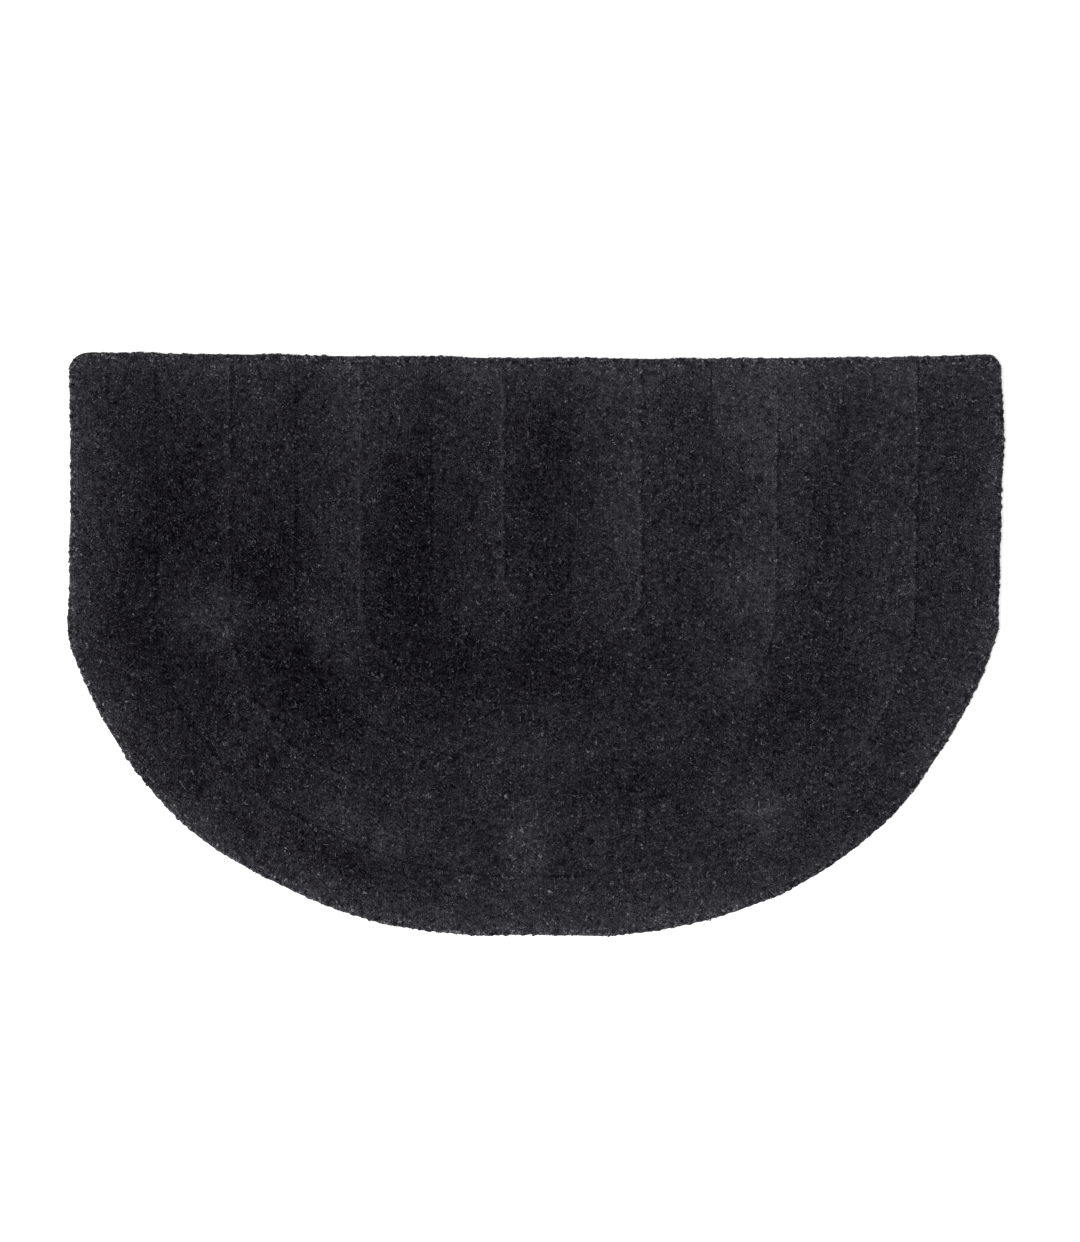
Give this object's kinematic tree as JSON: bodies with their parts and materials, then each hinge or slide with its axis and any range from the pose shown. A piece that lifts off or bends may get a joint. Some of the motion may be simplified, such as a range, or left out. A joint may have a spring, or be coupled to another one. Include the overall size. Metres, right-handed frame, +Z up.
{
  "type": "half moon rug",
  "caption": "Half moon hearth rug in charcoal cut pile, sculpted in nested U bands that run down from its straight edge; lies flat.",
  "frame": {"origin": "middle of the rug's box, on the floor under it", "axes": "+X along the straight edge to the right as seen from above, +Y toward the straight edge, +Z up out of the pile"},
  "size_m": [1.2008, 0.747, 0.0145],
  "materials": {
    "charcoal_pile": "cut wool pile, matt with a soft sheen at low angles"
  },
  "bodies": {
    "root": {"rug": "charcoal_pile"}
  },
  "joints": []
}
